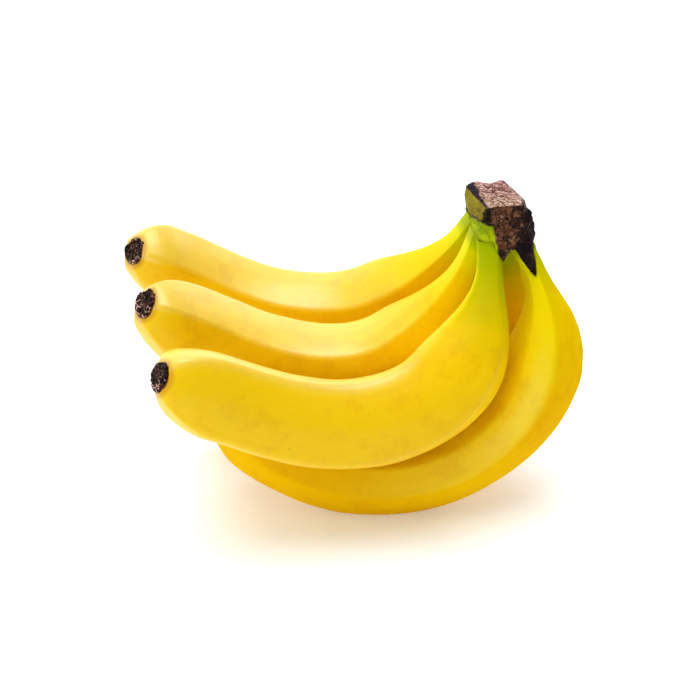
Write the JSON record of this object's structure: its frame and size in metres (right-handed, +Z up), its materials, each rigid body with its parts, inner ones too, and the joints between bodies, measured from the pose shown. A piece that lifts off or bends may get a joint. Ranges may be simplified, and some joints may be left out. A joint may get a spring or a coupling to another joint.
{
  "type": "bunch of bananas",
  "caption": "Bunch of ripe yellow bananas on one cut crown, curved fruits with blunt tips and dried blossom ends, resting on the lower fruits.",
  "frame": {"origin": "on the surface the bunch lies on, under the middle of the bunch's box", "axes": "+X from the blossom ends towards the crown, +Y towards the back of the bunch, +Z up"},
  "size_m": [0.1916, 0.1318, 0.1317],
  "materials": {
    "peel": "waxy ripe peel with a soft sheen, greener at the neck and fine brown specks",
    "stalk": "dried fibrous stalk, cut across, with torn dark rind and a green-brown side",
    "blossom": "dried dark brown flower remains, ragged and matt"
  },
  "bodies": {
    "root": {"crown": "stalk", "banana_back": "peel", "banana_middle": "peel", "banana_front": "peel", "banana_lower_front": "peel", "banana_lower_back": "peel", "blossom_end_back": "blossom", "blossom_end_middle": "blossom", "blossom_end_front": "blossom", "blossom_end_lower_front": "blossom", "blossom_end_lower_back": "blossom"}
  },
  "joints": []
}
